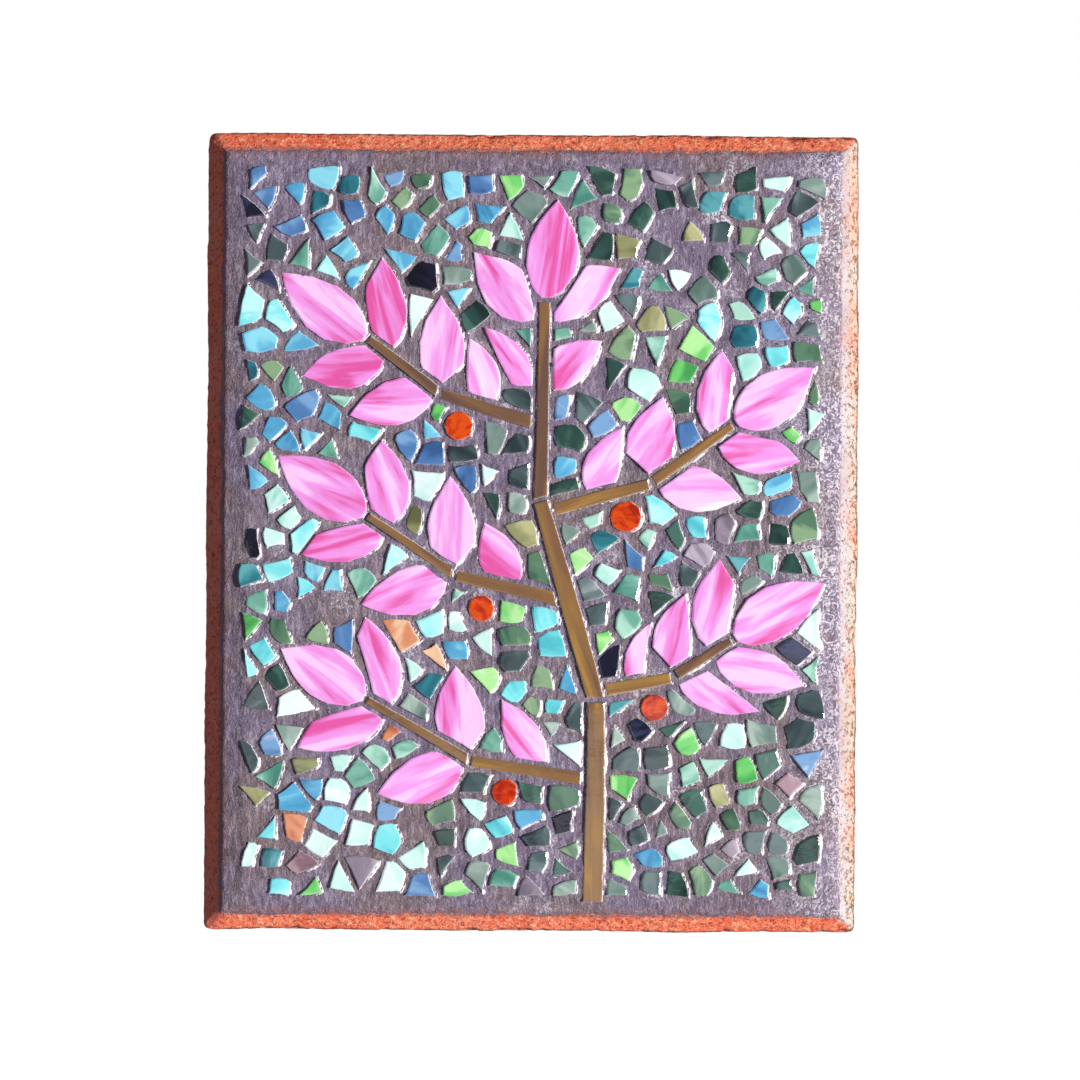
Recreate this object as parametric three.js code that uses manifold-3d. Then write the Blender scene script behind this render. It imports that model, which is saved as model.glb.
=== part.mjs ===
// A glass mosaic wall panel: a bevelled terracotta slab, a bed of grey grout on its face, and
// nipped opal glass set in the grout. The glass makes a tree of life with pink leaves, round
// orange fruit and a brown trunk and boughs, over a ground of small blue and green tesserae.
// Millimetres. The panel hangs upright: X runs to the right, Z up, its back lies on Y = 0 and
// its face looks towards -Y. The origin is the middle of the back.
import * as THREE from "three";
import { ConvexGeometry } from "three/addons/geometries/ConvexGeometry.js";
import { mergeVertices } from "three/addons/utils/BufferGeometryUtils.js";
import Module from "manifold-3d";

const wasm = await Module();
wasm.setup();

// The slab
const SLAB_WIDTH = 229;
const SLAB_HEIGHT = 280;
const SLAB_THICKNESS = 16;
const SLAB_CORNER_RADIUS = 3;
const CORNER_FACETS = 4;
const BEVEL_WIDTH = 7;
const BEVEL_DEPTH = 6;
const BACK_ARRIS = 1;

// The grout bed and the glass in it, bedded on the slab's face
const BEDDING_GAP = 0.3;
const GROUT_DEPTH = 1.8;
const GROUT_RIM_WIDTH = 2.4;
const GROUT_MARGIN = 2.2;
const GLASS_PROUD = 1.5;
const SOCKET_GAP = 0.3;

// The trunk: straight strips of glass, end to end
const TRUNK_STRIPS = 3;
const TRUNK_FOOT_X = 22;
const TRUNK_TOP_X = 4;
const TRUNK_SWAY = 8;
const TRUNK_HEADROOM = 48;
const TRUNK_WIDTH_AT_FOOT = 7;
const TRUNK_WIDTH_AT_TOP = 4;
const PICTURE_JOINT = 1.4;

// The boughs: two strips each, to the left and the right in turn
const BOUGHS = 5;
const LOWEST_BOUGH_SHARE = 0.2;
const HIGHEST_BOUGH_SHARE = 0.8;
const BOUGH_WIDTH_AT_TRUNK = 4.8;
const BOUGH_WIDTH_AT_TIP = 2.8;
const ELBOW_SHARE = 0.56;
const BOUGH_BEND = 0.1;
const LOWEST_BOUGH_SLOPE = 0.34;
const HIGHEST_BOUGH_SLOPE = 0.5;
const GROUND_LEFT_OF_TREE = 16;
const GROUND_RIGHT_OF_TREE = 3;

// The leaves and the fruit
const LEAF_LENGTH = 33;
const LEAF_WIDTH = 16.5;
const TIP_LEAF_RATIO = 1.12;
const INNER_LEAF_RATIO = 0.86;
const LEAF_VARIATION = 0.08;
const LEAF_LEAN = 0.2;
const LEAF_STATIONS = [0.14, 0.32, 0.52, 0.74];
const LEAF_FULLNESS = 0.84;
const LEAF_SPREAD_DEGREES = 50;
const LEAF_SETBACK = 8;
const TIP_LEAF_REACH_SHARE = 0.81;
const ELBOW_LEAF_SHARE = 0.06;
const INNER_LEAF_SHARE = 0.45;
const CROWN_FOOT_SHARE = 0.86;
const CROWN_PAIR_SHARE = 0.8;
const FRUIT_RADIUS = 5.2;
const FRUIT_SIDES = 10;
const FRUIT_VARIATION = 0.1;
const FRUIT_UNEVENNESS = 0.05;
const FRUIT_SHARE = 0.72;

// The ground of small tesserae
const TESSERA_PITCH = 9.6;
const CLOSEST_PITCH_RATIO = 0.6;
const WIDEST_PITCH_RATIO = 1.16;
const SCATTER_TRIES = 40;
const EVENING_SHARE = 0.35;
const GROUND_JOINT = 2;
const JOINT_VARIATION = 0.35;
const EDGE_INSET = 1.2;
const EDGE_WANDER = 3.2;
const EDGE_SKEW_DEGREES = 16;
const EDGE_PITCHES = 2;
const BARE_SHARE = 0.04;
const CORNER_CHOICES = [3, 3, 4, 4, 4, 4, 4, 5, 5, 6];
const SMALLEST_TESSERA_AREA = 12;
const SMALLEST_TESSERA_WIDTH = 2.6;
const LAYOUT_SEED = 7;

// How close two corners are when they are one, and how far a cut runs past what it cuts
const SAME_PLACE = 1e-4;
const OVERSHOOT = 1;

const TERRACOTTA = new THREE.MeshStandardMaterial({ color: 0xc8643c, roughness: 0.9 });
const GROUT = new THREE.MeshStandardMaterial({ color: 0x7a6f79, roughness: 0.95 });
const PINK_GLASS = new THREE.MeshStandardMaterial({ color: 0xf08fd0, roughness: 0.2 });
const ORANGE_GLASS = new THREE.MeshStandardMaterial({ color: 0xd84a08, roughness: 0.25 });
const BROWN_GLASS = new THREE.MeshStandardMaterial({ color: 0x8a7048, roughness: 0.3 });

// The part of the slab's face that glass covers, measured from its middle
const FIELD_HALF_WIDTH = SLAB_WIDTH / 2 - BEVEL_WIDTH - GROUT_RIM_WIDTH - GROUT_MARGIN;
const FIELD_HALF_HEIGHT = SLAB_HEIGHT / 2 - BEVEL_WIDTH - GROUT_RIM_WIDTH - GROUT_MARGIN;
const BED = SLAB_THICKNESS + BEDDING_GAP;
const GROUT_TOP = BED + GROUT_DEPTH;
const GLASS_TOP = GROUT_TOP + GLASS_PROUD;

// A seeded generator, so that every run lays the same glass.
function seeded(seed) {
  let state = seed;
  return () => {
    state = (state + 0x6d2b79f5) | 0;
    let mixed = Math.imul(state ^ (state >>> 15), 1 | state);
    mixed = (mixed + Math.imul(mixed ^ (mixed >>> 7), 61 | mixed)) ^ mixed;
    return ((mixed ^ (mixed >>> 14)) >>> 0) / 4294967296;
  };
}

const random = seeded(LAYOUT_SEED);
const between = (low, high) => low + (high - low) * random();
const varied = (variation) => between(1 - variation, 1 + variation);

// Outlines are convex, counterclockwise lists of Vector2.
function rectangle(halfWidth, halfHeight) {
  const corners = [[-1, -1], [1, -1], [1, 1], [-1, 1]];
  return corners.map(([x, y]) => new THREE.Vector2(x * halfWidth, y * halfHeight));
}

function roundedRectangle(halfWidth, halfHeight, radius) {
  const shape = new THREE.Shape();
  shape.absarc(halfWidth - radius, halfHeight - radius, radius, 0, Math.PI / 2);
  shape.absarc(radius - halfWidth, halfHeight - radius, radius, Math.PI / 2, Math.PI);
  shape.absarc(radius - halfWidth, radius - halfHeight, radius, Math.PI, 1.5 * Math.PI);
  shape.absarc(halfWidth - radius, radius - halfHeight, radius, 1.5 * Math.PI, 2 * Math.PI);
  return shape.getPoints(CORNER_FACETS);
}

function disc(centre, radius, sides) {
  return Array.from({ length: sides }, (_, i) => {
    const angle = (2 * Math.PI * i) / sides;
    const reach = radius * varied(FRUIT_UNEVENNESS);
    return new THREE.Vector2(Math.cos(angle), Math.sin(angle)).multiplyScalar(reach).add(centre);
  });
}

function area(outline) {
  return THREE.ShapeUtils.area(outline);
}

function centroid(outline) {
  const sum = new THREE.Vector2();
  let total = 0;
  outline.forEach((p, i) => {
    const q = outline[(i + 1) % outline.length];
    const doubled = p.cross(q);
    sum.addScaledVector(p.clone().add(q), doubled);
    total += doubled;
  });
  return sum.divideScalar(3 * total);
}

// The outward normal of each side.
function normals(outline) {
  return outline.map((p, i) => {
    const along = outline[(i + 1) % outline.length].clone().sub(p).normalize();
    return new THREE.Vector2(along.y, -along.x);
  });
}

// What a straight score leaves of an outline: the side where normal . p is under the limit.
function score(outline, normal, limit) {
  const kept = [];
  outline.forEach((p, i) => {
    const q = outline[(i + 1) % outline.length];
    const here = normal.dot(p) - limit;
    const next = normal.dot(q) - limit;
    if (here <= 0) kept.push(p);
    if (here * next < 0) kept.push(p.clone().lerp(q, here / (here - next)));
  });
  return kept;
}

const furthest = (outline, normal) => Math.max(...outline.map((p) => normal.dot(p)));

// Nips an outline back, along the line that costs it least, to a joint's width from another.
function nip(outline, neighbour, joint) {
  let gap = -Infinity;
  let line;
  for (const normal of normals(neighbour)) {
    const edge = furthest(neighbour, normal);
    const away = normal.clone().negate();
    const found = -furthest(outline, away) - edge;
    if (found > gap) [gap, line] = [found, [away, -(edge + joint)]];
  }
  for (const normal of normals(outline)) {
    const edge = -furthest(neighbour, normal.clone().negate());
    const found = edge - furthest(outline, normal);
    if (found > gap) [gap, line] = [found, [normal, edge - joint]];
  }
  return gap < joint ? score(outline, ...line) : outline;
}

// Drops the corners that shape an outline least, as quick nipping does, down to a number.
function plainer(outline, corners) {
  const kept = outline.slice();
  while (kept.length > corners) {
    const loss = kept.map((p, i) => {
      const before = kept[(i + kept.length - 1) % kept.length];
      return area([before, p, kept[(i + 1) % kept.length]]);
    });
    kept.splice(loss.indexOf(Math.min(...loss)), 1);
  }
  return kept;
}

// An outline moved outwards all round by a gap.
function grown(outline, gap) {
  const sides = normals(outline);
  return outline.map((p, i) => {
    const a = sides[(i + sides.length - 1) % sides.length];
    const b = sides[i];
    return p.clone().addScaledVector(a.clone().add(b), gap / (1 + a.dot(b)));
  });
}

// The point of an outline nearest to a point outside it.
function nearest(outline, point) {
  let best = outline[0];
  outline.forEach((p, i) => {
    const side = outline[(i + 1) % outline.length].clone().sub(p);
    const share = point.clone().sub(p).dot(side) / side.lengthSq();
    const foot = p.clone().addScaledVector(side, THREE.MathUtils.clamp(share, 0, 1));
    if (foot.distanceTo(point) < best.distanceTo(point)) best = foot;
  });
  return best;
}

const holds = (outline, point) => normals(outline).every((n, i) => n.dot(point) < n.dot(outline[i]));

const direction = (degrees) => {
  const angle = THREE.MathUtils.degToRad(degrees);
  return new THREE.Vector2(Math.cos(angle), Math.sin(angle));
};

// The picture: separate pieces of glass, each nipped to fit the ones laid before it
const picture = [];

function lay(name, material, outline) {
  let fitted = outline;
  const [right, up] = [new THREE.Vector2(1, 0), new THREE.Vector2(0, 1)];
  for (const sign of [1, -1]) {
    fitted = score(fitted, right.clone().multiplyScalar(sign), FIELD_HALF_WIDTH);
    fitted = score(fitted, up.clone().multiplyScalar(sign), FIELD_HALF_HEIGHT);
  }
  for (const piece of picture) fitted = nip(fitted, piece.outline, PICTURE_JOINT);
  picture.push({ name, material, outline: fitted });
}

// A straight strip of glass from one point to another, tapering between two widths.
function strip(from, to, startWidth, endWidth) {
  const along = to.clone().sub(from).normalize();
  const across = new THREE.Vector2(along.y, -along.x);
  return [
    from.clone().addScaledVector(across, -startWidth / 2),
    from.clone().addScaledVector(across, startWidth / 2),
    to.clone().addScaledVector(across, endWidth / 2),
    to.clone().addScaledVector(across, -endWidth / 2),
  ];
}

// A pointed leaf between two arcs, fuller on one side and broadest below its middle.
function leaf(base, heading, scale) {
  const along = direction(heading);
  const across = new THREE.Vector2(-along.y, along.x);
  const length = LEAF_LENGTH * scale * varied(LEAF_VARIATION);
  const width = LEAF_WIDTH * scale * varied(LEAF_VARIATION);
  const lean = between(-LEAF_LEAN, LEAF_LEAN);
  const side = (share, sign) => {
    const bulge = share ** LEAF_FULLNESS;
    const half = 2 * width * bulge * (1 - bulge) * (1 + sign * lean);
    return base
      .clone()
      .addScaledVector(along, length * share)
      .addScaledVector(across, sign * half);
  };
  const right = LEAF_STATIONS.map((share) => side(share, -1));
  const left = LEAF_STATIONS.toReversed().map((share) => side(share, 1));
  return [base.clone(), ...right, base.clone().addScaledVector(along, length), ...left];
}

// The trunk sways once on its way up from the foot of the field.
const trunkTop = FIELD_HALF_HEIGHT - TRUNK_HEADROOM;

function trunkAt(share) {
  const sway = TRUNK_SWAY * Math.sin(2 * Math.PI * share);
  return new THREE.Vector2(
    THREE.MathUtils.lerp(TRUNK_FOOT_X, TRUNK_TOP_X, share) + sway,
    THREE.MathUtils.lerp(-FIELD_HALF_HEIGHT, trunkTop, share),
  );
}

const trunkWidthAt = (share) =>
  THREE.MathUtils.lerp(TRUNK_WIDTH_AT_FOOT, TRUNK_WIDTH_AT_TOP, share);

function layTrunk() {
  for (let i = 0; i < TRUNK_STRIPS; i++) {
    const [start, end] = [i / TRUNK_STRIPS, (i + 1) / TRUNK_STRIPS];
    const widths = [trunkWidthAt(start), trunkWidthAt(end)];
    lay(`trunk_strip_${i + 1}`, BROWN_GLASS, strip(trunkAt(start), trunkAt(end), ...widths));
  }
}

// A bough runs out from the trunk to its elbow, and rises more steeply from there to its tip.
function boughAt(k) {
  const share = k / (BOUGHS - 1);
  const base = trunkAt(THREE.MathUtils.lerp(LOWEST_BOUGH_SHARE, HIGHEST_BOUGH_SHARE, share));
  const side = k % 2 ? 1 : -1;
  const ground = side > 0 ? GROUND_RIGHT_OF_TREE : GROUND_LEFT_OF_TREE;
  const slope = THREE.MathUtils.lerp(LOWEST_BOUGH_SLOPE, HIGHEST_BOUGH_SLOPE, share);
  const tipLeafReach = TIP_LEAF_REACH_SHARE * LEAF_LENGTH * TIP_LEAF_RATIO;
  const tipX = side * (FIELD_HALF_WIDTH - ground - tipLeafReach);
  const tip = new THREE.Vector2(tipX, base.y + slope * Math.abs(tipX - base.x));
  const elbow = base.clone().lerp(tip, ELBOW_SHARE);
  elbow.y -= BOUGH_BEND * base.distanceTo(tip);
  return { side, base, elbow, tip };
}

const boughs = Array.from({ length: BOUGHS }, (_, k) => boughAt(k));

function layBoughs() {
  const middleWidth = (BOUGH_WIDTH_AT_TRUNK + BOUGH_WIDTH_AT_TIP) / 2;
  boughs.forEach(({ base, elbow, tip }, k) => {
    const inner = strip(base, elbow, BOUGH_WIDTH_AT_TRUNK, middleWidth);
    const outer = strip(elbow, tip, middleWidth, BOUGH_WIDTH_AT_TIP);
    lay(`bough_${k + 1}_inner_strip`, BROWN_GLASS, inner);
    lay(`bough_${k + 1}_outer_strip`, BROWN_GLASS, outer);
  });
}

const headingOf = (from, to) => THREE.MathUtils.radToDeg(to.clone().sub(from).angle());

// A fruit hangs under the inner strip of each bough.
function layFruit() {
  boughs.forEach(({ side, base, elbow }, k) => {
    const below = direction(headingOf(base, elbow) - side * 90);
    const drop = BOUGH_WIDTH_AT_TRUNK / 2 + PICTURE_JOINT + FRUIT_RADIUS;
    const middle = base.clone().lerp(elbow, FRUIT_SHARE).addScaledVector(below, drop);
    const radius = FRUIT_RADIUS * varied(FRUIT_VARIATION);
    lay(`fruit_${k + 1}`, ORANGE_GLASS, disc(middle, radius, FRUIT_SIDES));
  });
}

// Leaves grow from a strip at a share of its length, to its left (1), its right (-1) or ahead.
function layLeaves(name, strips) {
  strips.forEach(({ from, to, share, turn, scale }, i) => {
    const heading = headingOf(from, to) + turn * LEAF_SPREAD_DEGREES * varied(LEAF_VARIATION);
    const base = from.clone().lerp(to, share);
    lay(`${name}_leaf_${i + 1}`, PINK_GLASS, leaf(base, heading, scale));
  });
}

function layBoughLeaves() {
  boughs.forEach(({ side, base, elbow, tip }, k) => {
    const neck = 1 - LEAF_SETBACK / elbow.distanceTo(tip);
    layLeaves(`bough_${k + 1}`, [
      { from: elbow, to: tip, share: 1, turn: 0, scale: TIP_LEAF_RATIO },
      { from: elbow, to: tip, share: neck, turn: side, scale: 1 },
      { from: elbow, to: tip, share: neck, turn: -side, scale: 1 },
      { from: elbow, to: tip, share: 0, turn: side, scale: 1 },
      { from: elbow, to: tip, share: ELBOW_LEAF_SHARE, turn: -side, scale: 1 },
      { from: base, to: elbow, share: INNER_LEAF_SHARE, turn: side, scale: INNER_LEAF_RATIO },
    ]);
  });
}

function layCrownLeaves() {
  const foot = trunkAt(CROWN_FOOT_SHARE);
  const tip = trunkAt(1);
  layLeaves("crown", [
    { from: foot, to: tip, share: 1, turn: 0, scale: TIP_LEAF_RATIO },
    { from: foot, to: tip, share: CROWN_PAIR_SHARE, turn: 1, scale: 1 },
    { from: foot, to: tip, share: CROWN_PAIR_SHARE, turn: -1, scale: 1 },
    { from: foot, to: tip, share: 0, turn: 1, scale: INNER_LEAF_RATIO },
    { from: foot, to: tip, share: 0, turn: -1, scale: INNER_LEAF_RATIO },
  ]);
}

layTrunk();
layBoughs();
layFruit();
layBoughLeaves();
layCrownLeaves();

// The ground: each tessera is nipped out of its own cell, between its neighbours, the picture
// and the edge of the field
function cell(site, sites, joint) {
  let outline = rectangle(FIELD_HALF_WIDTH, FIELD_HALF_HEIGHT);
  for (const { point } of sites) {
    const away = point.clone().sub(site.point);
    const distance = away.length();
    if (!distance) continue;
    away.divideScalar(distance);
    outline = score(outline, away, away.dot(site.point) + distance / 2 - joint / 2);
  }
  for (const piece of picture) {
    const touch = nearest(piece.outline, site.point);
    const away = touch.clone().sub(site.point).normalize();
    outline = score(outline, away, away.dot(touch) - joint);
  }
  return outline;
}

// Trims what reaches the edge of the field along lines of its own, each in by a little and askew.
function trimmedAtEdge(outline, site) {
  let trimmed = outline;
  for (let side = 0; side < 4; side++) {
    const square = direction(90 * side);
    const away = direction(90 * side + between(-EDGE_SKEW_DEGREES, EDGE_SKEW_DEGREES));
    const half = side % 2 ? FIELD_HALF_HEIGHT : FIELD_HALF_WIDTH;
    const inset = EDGE_INSET + EDGE_WANDER * random();
    const edge = site.point.clone().addScaledVector(square, half - square.dot(site.point) - inset);
    if (square.dot(site.point) > half - EDGE_PITCHES * TESSERA_PITCH) {
      trimmed = score(trimmed, away, away.dot(edge));
    }
  }
  return trimmed;
}

// Sites stand about a pitch apart, some closer and some further, clear of the picture.
function scatter() {
  const sites = [];
  const fieldArea = 4 * FIELD_HALF_WIDTH * FIELD_HALF_HEIGHT;
  const tries = SCATTER_TRIES * Math.ceil(fieldArea / TESSERA_PITCH ** 2);
  const clearance = GROUND_JOINT + SMALLEST_TESSERA_WIDTH / 2;
  for (let i = 0; i < tries; i++) {
    const point = new THREE.Vector2(
      between(-1, 1) * (FIELD_HALF_WIDTH - clearance),
      between(-1, 1) * (FIELD_HALF_HEIGHT - clearance),
    );
    const spacing = TESSERA_PITCH * between(CLOSEST_PITCH_RATIO, WIDEST_PITCH_RATIO);
    const crowded = sites.some((s) => s.point.distanceTo(point) < (s.spacing + spacing) / 2);
    const covered = picture.some(
      ({ outline }) =>
        holds(outline, point) || nearest(outline, point).distanceTo(point) < clearance,
    );
    if (!crowded && !covered) sites.push({ point, spacing });
  }
  return sites;
}

function isUsable(outline) {
  if (outline.length < 3 || area(outline) < SMALLEST_TESSERA_AREA) return false;
  const widths = normals(outline).map(
    (normal, i) => normal.dot(outline[i]) + furthest(outline, normal.clone().negate()),
  );
  return Math.min(...widths) >= SMALLEST_TESSERA_WIDTH;
}

function layGround() {
  const sites = scatter();
  const middles = sites.map((site) => centroid(cell(site, sites, 0)));
  sites.forEach((site, i) => site.point.lerp(middles[i], EVENING_SHARE));
  return sites
    .filter(() => random() > BARE_SHARE)
    .map((site) => {
      const corners = CORNER_CHOICES[Math.floor(between(0, CORNER_CHOICES.length))];
      const joint = GROUND_JOINT * varied(JOINT_VARIATION);
      return plainer(trimmedAtEdge(cell(site, sites, joint), site), corners);
    })
    .filter(isUsable);
}

// Solids
function prism(outline, bottom, top) {
  const shape = new THREE.Shape(outline);
  const geometry = new THREE.ExtrudeGeometry(shape, { depth: top - bottom, bevelEnabled: false });
  return geometry.translate(0, 0, bottom);
}

const raised = (outline, height) => outline.map((p) => new THREE.Vector3(p.x, p.y, height));

// A solid ready for joins and cuts: its corners are merged by place alone.
function solid(geometry) {
  const bare = geometry.clone().deleteAttribute("normal");
  bare.deleteAttribute("uv");
  const merged = mergeVertices(bare, SAME_PLACE);
  return new wasm.Manifold(
    new wasm.Mesh({
      numProp: 3,
      vertProperties: merged.attributes.position.array,
      triVerts: new Uint32Array(merged.index.array),
    }),
  );
}

function geometryOf(manifold) {
  const mesh = manifold.getMesh();
  const geometry = new THREE.BufferGeometry();
  geometry.setAttribute("position", new THREE.BufferAttribute(mesh.vertProperties, 3));
  geometry.setIndex(new THREE.BufferAttribute(mesh.triVerts, 1));
  geometry.computeVertexNormals();
  return geometry;
}

// Joins solids in pairs, so that no join works on more than it needs to.
function joined(solids) {
  if (solids.length === 1) return solids[0];
  const half = Math.ceil(solids.length / 2);
  return joined(solids.slice(0, half)).add(joined(solids.slice(half)));
}

// The slab: one block of fired clay. A wide bevel runs round its face, and an arris its back.
function slabGeometry() {
  const [halfWidth, halfHeight] = [SLAB_WIDTH / 2, SLAB_HEIGHT / 2];
  const side = roundedRectangle(halfWidth, halfHeight, SLAB_CORNER_RADIUS);
  const backRadius = Math.max(SLAB_CORNER_RADIUS - BACK_ARRIS, SLAB_CORNER_RADIUS / 4);
  const back = roundedRectangle(halfWidth - BACK_ARRIS, halfHeight - BACK_ARRIS, backRadius);
  const face = rectangle(halfWidth - BEVEL_WIDTH, halfHeight - BEVEL_WIDTH);
  return new ConvexGeometry([
    ...raised(back, 0),
    ...raised(side, BACK_ARRIS),
    ...raised(side, SLAB_THICKNESS - BEVEL_DEPTH),
    ...raised(face, SLAB_THICKNESS),
  ]);
}

// The grout bed: it slopes down to the bevel all round, is open where each piece of the picture
// stands, and holds the tesserae of the ground, which are part of the same solid.
function groutGeometry(ground) {
  const [halfWidth, halfHeight] = [SLAB_WIDTH / 2 - BEVEL_WIDTH, SLAB_HEIGHT / 2 - BEVEL_WIDTH];
  const foot = rectangle(halfWidth, halfHeight);
  const top = rectangle(halfWidth - GROUT_RIM_WIDTH, halfHeight - GROUT_RIM_WIDTH);
  const bed = solid(new ConvexGeometry([...raised(foot, BED), ...raised(top, GROUT_TOP)]));
  const sockets = picture.map(({ outline }) =>
    solid(prism(grown(outline, SOCKET_GAP), BED - OVERSHOOT, GROUT_TOP + OVERSHOOT)),
  );
  const rooted = BED + GROUT_DEPTH / 2;
  const tesserae = ground.map((outline) => solid(prism(outline, rooted, GLASS_TOP)));
  return geometryOf(bed.subtract(joined(sockets)).add(joined(tesserae)));
}

function named(name, geometry, material) {
  const mesh = new THREE.Mesh(geometry, material);
  mesh.name = name;
  return mesh;
}

const panel = new THREE.Group();
panel.add(named("slab", slabGeometry(), TERRACOTTA));
panel.add(named("grout_bed", groutGeometry(layGround()), GROUT));
for (const { name, material, outline } of picture) {
  panel.add(named(name, prism(outline, BED, GLASS_TOP), material));
}
panel.rotation.x = Math.PI / 2;

export default panel;
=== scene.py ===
import math
import random

import bmesh
import bpy
import numpy as np
from mathutils import Matrix, Vector, noise


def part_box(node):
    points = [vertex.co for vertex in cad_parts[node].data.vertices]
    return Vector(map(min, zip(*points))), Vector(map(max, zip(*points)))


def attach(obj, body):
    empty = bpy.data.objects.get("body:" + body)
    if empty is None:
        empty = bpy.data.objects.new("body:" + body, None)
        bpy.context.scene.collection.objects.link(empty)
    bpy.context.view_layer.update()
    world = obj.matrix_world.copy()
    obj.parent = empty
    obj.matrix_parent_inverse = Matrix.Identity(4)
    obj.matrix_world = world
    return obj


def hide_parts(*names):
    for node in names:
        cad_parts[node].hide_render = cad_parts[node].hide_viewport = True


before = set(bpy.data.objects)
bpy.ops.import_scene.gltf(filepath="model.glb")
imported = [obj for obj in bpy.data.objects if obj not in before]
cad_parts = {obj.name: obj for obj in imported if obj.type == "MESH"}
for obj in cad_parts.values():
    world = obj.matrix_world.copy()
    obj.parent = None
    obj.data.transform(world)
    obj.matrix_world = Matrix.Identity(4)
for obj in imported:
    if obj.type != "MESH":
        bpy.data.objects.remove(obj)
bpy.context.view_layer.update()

# The slab: one block of red clay, bevelled round its face while it was leather hard and fired
# without glaze. Its grain is open, with grog and pits, and its arrises are worn and chipped. Its
# colour carries painted light: a pale painted highlight down the bevel on the right, where the key
# light strikes, painted shade on the bevel on the left, and darker painted shade along the arris.
MM = 0.001
HAIR = 0.05 * MM
GRAIN_STEP = 0.85 * MM
CORNER_RADIUS = 3 * MM
BACK_ARRIS = 1 * MM

slab_low, slab_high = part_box("slab")
slab_points = [v.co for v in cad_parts["slab"].data.vertices]
face_y = slab_low.y
face_x = max(p.x for p in slab_points if p.y < face_y + HAIR)
face_z = max(p.z for p in slab_points if p.y < face_y + HAIR)
bevel_width = slab_high.x - face_x
bevel_foot_y = min(p.y for p in slab_points if p.x > slab_high.x - HAIR)
bevel_depth = bevel_foot_y - face_y


class Wire:
    """A socket that gives a value, so that shader maths reads as Python."""

    def __init__(self, nodes, socket):
        self.nodes = nodes
        self.socket = socket

    def math(self, operation, first, second):
        return self.nodes.node("ShaderNodeMath", {"operation": operation}, {0: first, 1: second})

    def __add__(self, other):
        return self.math("ADD", self, other)

    def __sub__(self, other):
        return self.math("SUBTRACT", self, other)

    def __rsub__(self, other):
        return self.math("SUBTRACT", other, self)

    def __mul__(self, other):
        return self.math("MULTIPLY", self, other)

    __radd__ = __add__


class Nodes:
    """A tree of nodes, with one method that adds any node to it."""

    def __init__(self, tree):
        self.tree = tree

    def node(self, kind, settings, inputs, output=0):
        made = self.tree.nodes.new(kind)
        for key, value in settings.items():
            setattr(made, key, value)
        for key, value in inputs.items():
            self.join(value, made.inputs[key])
        return Wire(self, made.outputs[output])

    def join(self, value, socket):
        if isinstance(value, Wire):
            self.tree.links.new(value.socket, socket)
        else:
            socket.default_value = value


class Finish(Nodes):
    """A material being made."""

    def __init__(self, name, constants):
        self.material = bpy.data.materials.new(name)
        self.material.use_nodes = True
        super().__init__(self.material.node_tree)
        self.shader = self.tree.nodes["Principled BSDF"]
        for socket, value in constants.items():
            self.shader.inputs[socket].default_value = value

    def place(self):
        return self.node("ShaderNodeTexCoord", {}, {}, "Object")

    def noise(self, where, size, detail=3, distortion=0):
        inputs = {"Vector": where, "Scale": 1 / size, "Detail": detail, "Distortion": distortion}
        return self.node("ShaderNodeTexNoise", {}, inputs)

    def between(self, value, low, high):
        """0 at low and under, 1 at high and over, smooth in between."""
        settings = {"interpolation_type": "SMOOTHSTEP"}
        return self.node("ShaderNodeMapRange", settings, {0: value, 1: low, 2: high})

    def mix(self, share, first, second):
        return self.node("ShaderNodeMix", {"data_type": "RGBA"}, {0: share, 6: first, 7: second}, 2)

    def attribute(self, name, output="Fac"):
        return self.node("ShaderNodeAttribute", {"attribute_name": name}, {}, output)

    def bump(self, height, depth, before=None):
        inputs = {"Height": height, "Distance": depth, "Strength": 1.0}
        if before:
            inputs["Normal"] = before
        return self.node("ShaderNodeBump", {}, inputs)

    def wear(self, colour, roughness, normal):
        self.join(colour, self.shader.inputs["Base Color"])
        self.join(roughness, self.shader.inputs["Roughness"])
        self.join(normal, self.shader.inputs["Normal"])
        return self.material


def paint(red, green, blue):
    """A colour as a colour picker gives it, 0 to 255, in the renderer's linear values."""
    shares = [channel / 255 for channel in (red, green, blue)]
    linear = [s / 12.92 if s < 0.04045 else ((s + 0.055) / 1.055) ** 2.4 for s in shares]
    return (*linear, 1.0)


def new_piece(name, bm, finish, slot, *nodes):
    """A finished piece that stands for these nodes of the frame."""
    mesh = bpy.data.meshes.new(name)
    bm.to_mesh(mesh)
    bm.free()
    mesh.materials.append(finish)
    piece = bpy.data.objects.new(name, mesh)
    bpy.context.scene.collection.objects.link(piece)
    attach(piece, "root")
    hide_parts(*nodes)
    return piece


def clipped(value):
    return max(0.0, min(1.0, value))


def rough(point, size, octaves=3, layer=0):
    """Smooth noise from about -1 to 1 whose lumps are of that size, another one on each layer."""
    return noise.fractal((point + Vector((0, layer, 0))) / size, 1.0, 2.0, octaves)


def past_face(point):
    """How far outside the edge of the slab's face a point is, seen from the front."""
    return max(abs(point.x) - face_x, abs(point.z) - face_z)


def inside_rim(point):
    """How far inside the slab's outline a point is, seen from the front."""
    return min(slab_high.x - abs(point.x), slab_high.z - abs(point.z))


def fired_clay(finish, clouds, mottle, grit, painted_shade_side):
    """Orange clay, cloudy and mottled, with dark pits and pale grog, laid bare by weather and partly
    a painted highlight.
    """
    clay = finish.mix(finish.between(clouds, 0.35, 0.65), paint(250, 116, 80), paint(254, 132, 96))
    clay = finish.mix(finish.between(mottle, 0.42, 0.7) * 0.5, clay, paint(254, 158, 118))
    pits = finish.between(grit, 0.47, 0.38)
    clay = finish.mix(pits * 0.8, clay, paint(140, 48, 44))
    # The pale grog partly stands for lit grains, a painted highlight, and is mostly left off the
    # left bevel, which is painted as in shade.
    grog = finish.between(grit, 0.54, 0.61) * (1 - painted_shade_side * 0.75)
    return finish.mix(grog * 0.8, clay, paint(255, 202, 158))


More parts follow.
